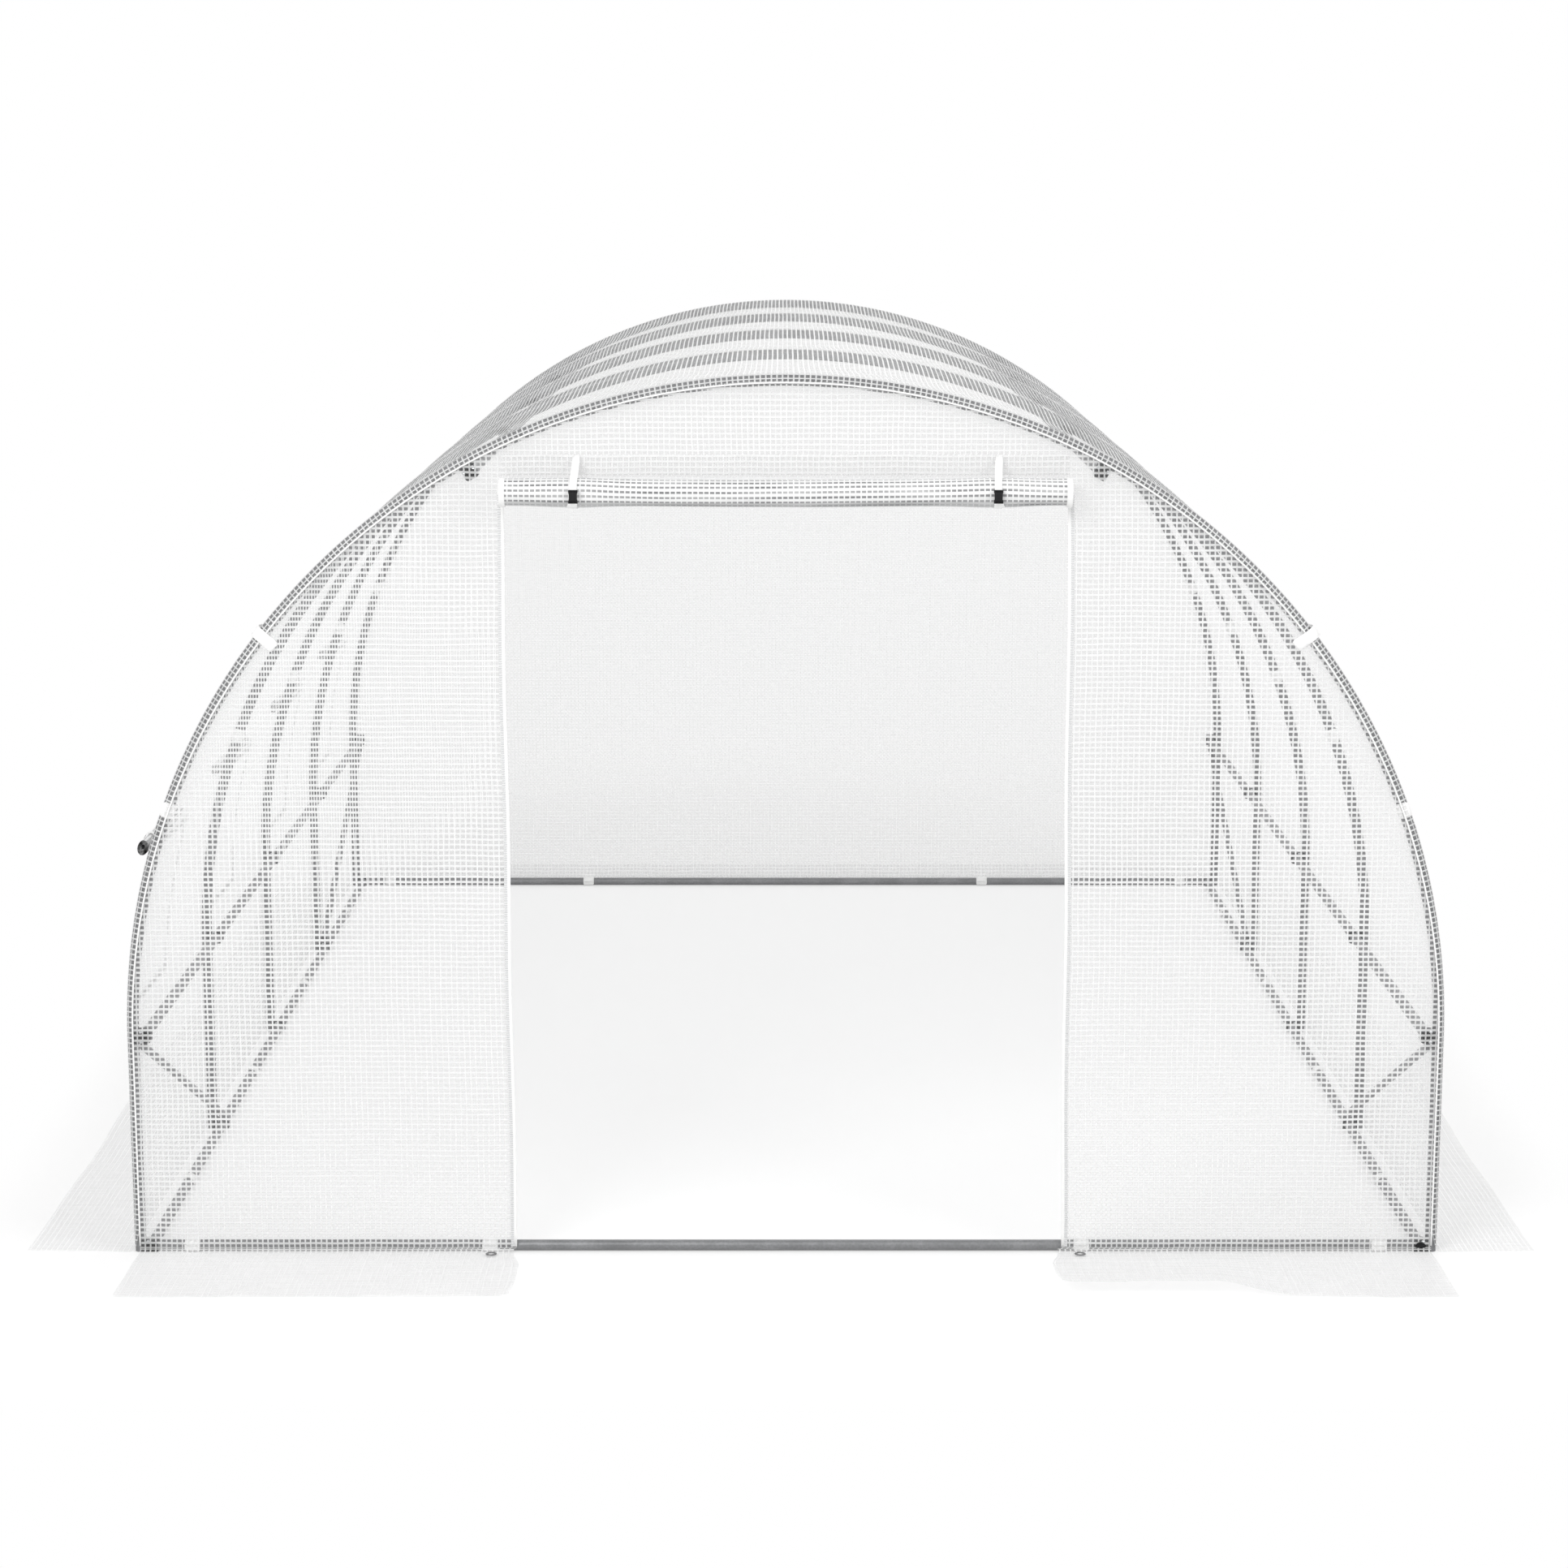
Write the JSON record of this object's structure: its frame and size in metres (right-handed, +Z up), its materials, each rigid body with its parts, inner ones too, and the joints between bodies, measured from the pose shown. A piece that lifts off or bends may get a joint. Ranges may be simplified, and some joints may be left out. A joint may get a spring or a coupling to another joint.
{
  "type": "polytunnel greenhouse",
  "caption": "Half-round tunnel greenhouse: tube hoops and rails under a grid-reinforced film cover with a rolled-up front door and ground flaps.",
  "frame": {"origin": "on the ground at the middle of the floor plan, flaps included", "axes": "+X to the right seen from the front, +Y from the front gable to the back gable, +Z up"},
  "size_m": [3.46, 4.62, 2.01],
  "materials": {
    "tube": "galvanised, satin",
    "clamp": "dark, satin",
    "film": "translucent, with a woven reinforcing grid",
    "webbing": "white webbing",
    "black_plastic": "matte",
    "eyelet_metal": "satin"
  },
  "bodies": {
    "root": {"hoop_1": "tube", "hoop_2": "tube", "hoop_3": "tube", "hoop_4": "tube", "hoop_5": "tube", "left_base_rail": "tube", "right_base_rail": "tube", "front_base_rail": "tube", "back_base_rail": "tube", "left_side_rail": "tube", "right_side_rail": "tube", "left_shoulder_rail": "tube", "right_shoulder_rail": "tube", "left_braces": "tube", "right_braces": "tube", "foot_clamps": "clamp", "side_clamps": "clamp", "shoulder_clamps": "clamp", "rail_caps": "black_plastic", "right_wall_film": "film", "left_wall_film": "film", "roof_film_1": "film", "roof_film_2": "film", "roof_film_3": "film", "roof_film_4": "film", "roof_film_5": "film", "roof_film_6": "film", "back_film": "film", "front_left_film": "film", "front_right_film": "film", "front_top_film": "film", "left_flap": "film", "right_flap": "film", "front_left_flap": "film", "front_right_flap": "film", "back_flap": "film", "rolled_door": "film", "door_ties": "webbing", "door_buckles": "black_plastic", "zip_tapes": "webbing", "hoop_ties": "webbing", "gable_ties": "webbing", "rail_ties": "webbing", "vent_rolls": "film", "eyelets": "eyelet_metal"}
  },
  "joints": []
}
